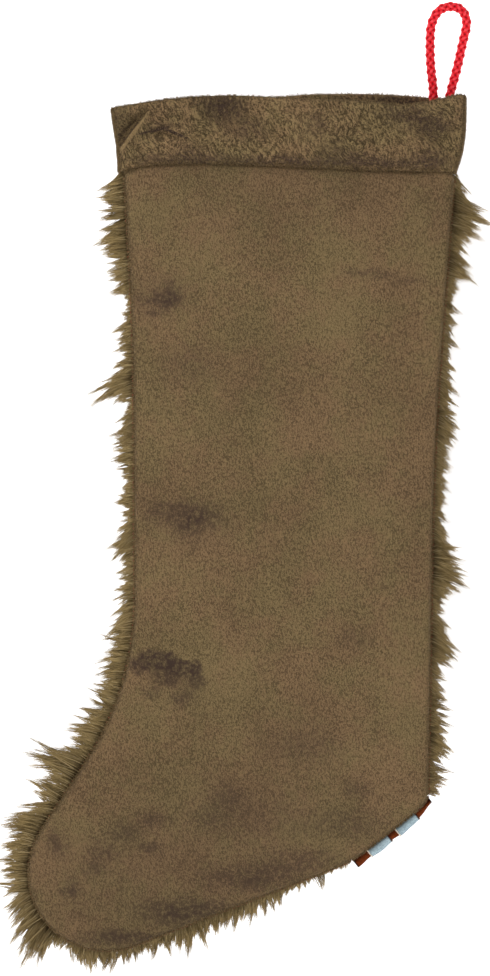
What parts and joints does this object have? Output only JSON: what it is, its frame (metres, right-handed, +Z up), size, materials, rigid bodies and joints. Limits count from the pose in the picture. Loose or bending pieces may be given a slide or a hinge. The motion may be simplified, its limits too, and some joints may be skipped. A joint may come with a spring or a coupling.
{
  "type": "christmas stocking",
  "caption": "Hanging stocking with a plush back, a long-pile fur front, a folded plush cuff, a striped heel patch and a braided cord loop.",
  "frame": {"origin": "the point inside the top of the loop where it hangs on a hook; the loop hangs in the plane Y = 0 and the side seam lies in the plane Y = -4 mm", "axes": "+Z up, +X from the toe towards the heel, +Y from the plush back towards the fur front"},
  "size_m": [0.2595, 0.0395, 0.5453],
  "materials": {
    "cord": "glossy braided polypropylene, red",
    "cord_thread": "sewing thread, dark red",
    "plush": "short-pile plush, brown, brushed",
    "fur_backing": "knitted ground of the fur, dark brown",
    "fur": "long-pile faux fur, olive tan",
    "lining": "thin plain-weave lining, dark brown",
    "patch_felt": "rust felt",
    "patch_band": "pale blue satin band",
    "pale_thread": "off-white sewing thread",
    "brown_thread": "dark brown sewing thread"
  },
  "bodies": {
    "loop": {"hanging_loop": "cord"},
    "stocking": {"loop_tails": "cord", "loop_whipping": "cord_thread", "cuff_back": "plush", "cuff_front": "plush", "back_panel": "plush", "front_panel": "fur_backing", "fur_pile": "fur", "lining_back": "lining", "lining_front": "lining", "heel_patch": "patch_felt", "heel_patch_stripes": "patch_band", "heel_patch_thread": "pale_thread", "side_seam_thread": "brown_thread", "cuff_seam_thread": "brown_thread"}
  },
  "joints": [
    {"name": "loop_flex", "type": "hinge", "parent": "loop", "child": "stocking", "pos_m": [0, 0, -0.045], "axis": [1, 0, 0], "range_deg": [-90, 90]}
  ]
}
